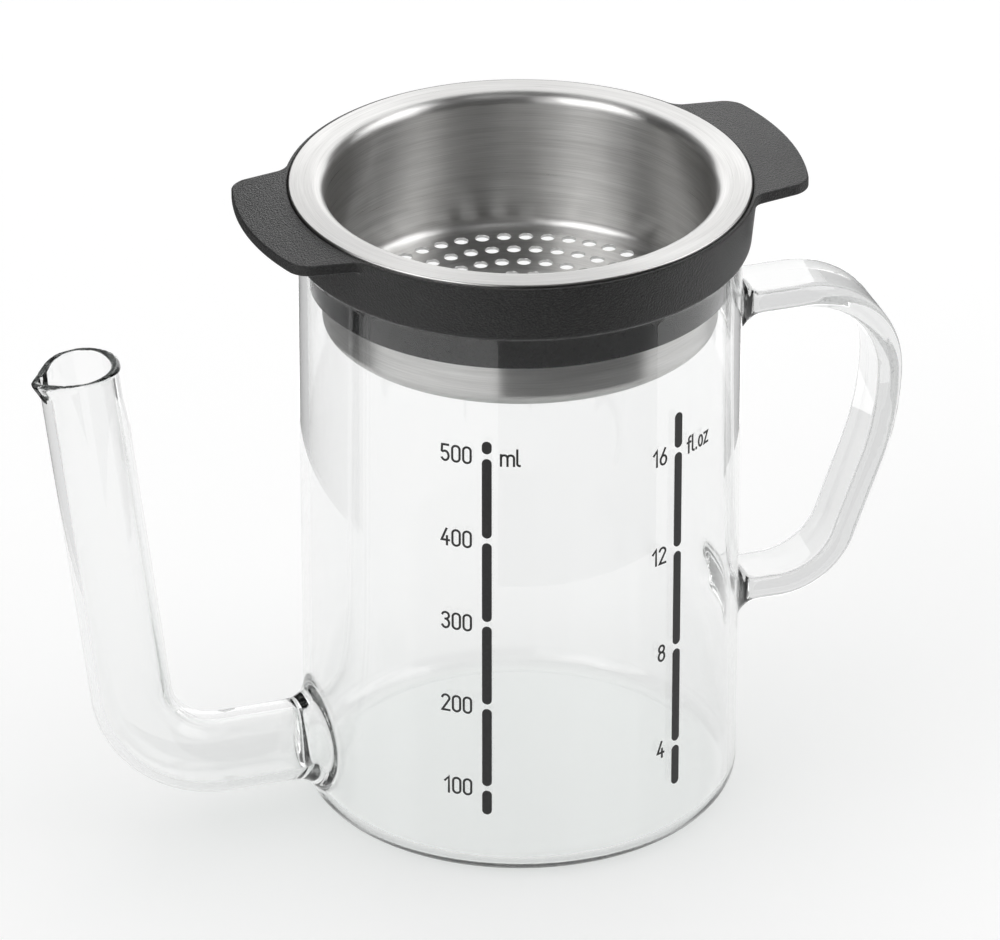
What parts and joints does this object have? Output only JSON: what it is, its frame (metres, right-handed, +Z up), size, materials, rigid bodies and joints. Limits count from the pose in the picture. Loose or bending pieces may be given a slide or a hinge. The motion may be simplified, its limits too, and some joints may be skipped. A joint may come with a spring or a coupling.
{
  "type": "gravy fat separator",
  "caption": "Clear glass fat separator jug with a low upswept spout, flat loop handle, printed scales and a lift-out steel strainer in a black collar with two ears.",
  "frame": {"origin": "under the jug's axis, on the plane that it stands on", "axes": "+Z up along the jug's axis, +X towards the handle, -X towards the spout"},
  "size_m": [0.1757, 0.0914, 0.1305],
  "materials": {
    "jug_glass": "clear, fire-polished",
    "spout_glass": "clear, fire-polished",
    "handle_glass": "clear, fire-polished",
    "scale_print": "fired-on dark grey print, satin",
    "collar_plastic": "black, fine eroded texture",
    "sleeve_plastic": "black, smooth",
    "brushed_steel": "stainless, brushed round the axis"
  },
  "bodies": {
    "jug": {"jug_body": "jug_glass", "spout_tube": "spout_glass", "jug_handle": "handle_glass", "ml_scale": "scale_print", "floz_scale": "scale_print"},
    "insert": {"collar_ring": "collar_plastic", "retaining_sleeve": "sleeve_plastic", "strainer_bowl": "brushed_steel"}
  },
  "joints": [
    {"name": "insert_lift", "type": "slide", "parent": "jug", "child": "insert", "axis": [0, 0, 1], "range_m": [0, 0.06]}
  ]
}
